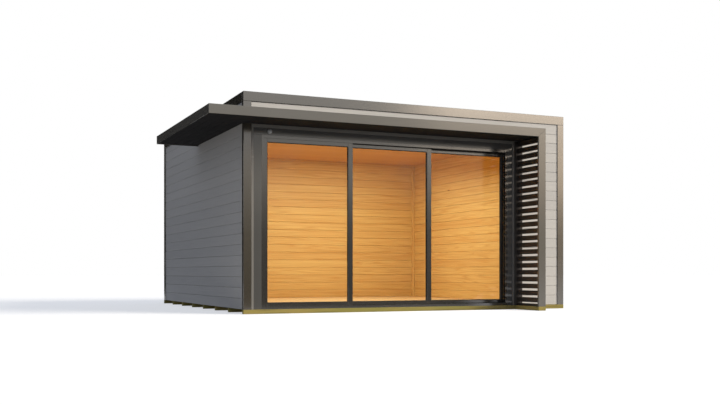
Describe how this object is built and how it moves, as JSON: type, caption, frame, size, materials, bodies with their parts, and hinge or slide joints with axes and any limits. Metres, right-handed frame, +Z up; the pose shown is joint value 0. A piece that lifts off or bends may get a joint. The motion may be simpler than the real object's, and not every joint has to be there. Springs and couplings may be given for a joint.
{
  "type": "garden office",
  "caption": "Flat-roofed clad garden office with a sliding glass door, a canopy that wraps one front corner and a louvred side fin.",
  "frame": {"origin": "on the ground, in the middle of the outline seen from above", "axes": "+X to the right along the front, +Y from the front to the back, +Z up; the door faces -Y"},
  "size_m": [4.875, 4.627, 2.5],
  "materials": {
    "treated_timber": "sawn, pressure treated",
    "floor_timber": "satin varnish",
    "frame_timber": "planed, hidden",
    "lining_timber": "satin varnish",
    "grey_boards": "painted, matt",
    "grey_trim": "satin powder coat",
    "dark_trim": "satin powder coat",
    "door_frame": "satin powder coat",
    "door_glass": "clear sealed unit",
    "roof_rubber": "matt sheet",
    "sensor_plastic": "satin silver"
  },
  "bodies": {
    "building": {"floor_bearers": "treated_timber", "fin_sole_plate": "treated_timber", "floor_boards": "floor_timber", "left_wall": "frame_timber", "right_wall": "frame_timber", "back_wall": "frame_timber", "front_left_post": "frame_timber", "front_right_wall": "frame_timber", "front_header": "frame_timber", "roof_deck": "frame_timber", "canopy_deck": "frame_timber", "left_lining": "lining_timber", "right_lining": "lining_timber", "back_lining": "lining_timber", "front_lining": "lining_timber", "ceiling_lining": "lining_timber", "left_cladding": "grey_boards", "right_cladding": "grey_boards", "back_cladding": "grey_boards", "front_cladding": "grey_boards", "front_trims": "grey_trim", "back_trims": "grey_trim", "front_coping": "grey_trim", "side_copings": "grey_trim", "back_coping": "grey_trim", "canopy_front_fascia": "grey_trim", "canopy_side_fascias": "grey_trim", "fin_front_post": "grey_trim", "door_surround": "grey_trim", "canopy_soffit": "dark_trim", "fin_wall_side_post": "dark_trim", "fin_slats": "dark_trim", "door_lining": "dark_trim", "door_head_track": "door_frame", "door_cill_track": "door_frame", "door_jambs": "door_frame", "fixed_sash": "door_frame", "fixed_glass": "door_glass", "roof_sheet": "roof_rubber", "canopy_sheet_cover": "roof_rubber", "entrance_sensor": "sensor_plastic"},
    "middle_door": {"middle_sash": "door_frame", "middle_glass": "door_glass"},
    "lead_door": {"lead_sash": "door_frame", "lead_glass": "door_glass"}
  },
  "joints": [
    {"name": "middle_slide", "type": "slide", "parent": "building", "child": "middle_door", "axis": [-1, 0, 0], "range_m": [0, 1.05]},
    {"name": "lead_slide", "type": "slide", "parent": "building", "child": "lead_door", "axis": [-1, 0, 0], "range_m": [0, 2.12]}
  ]
}
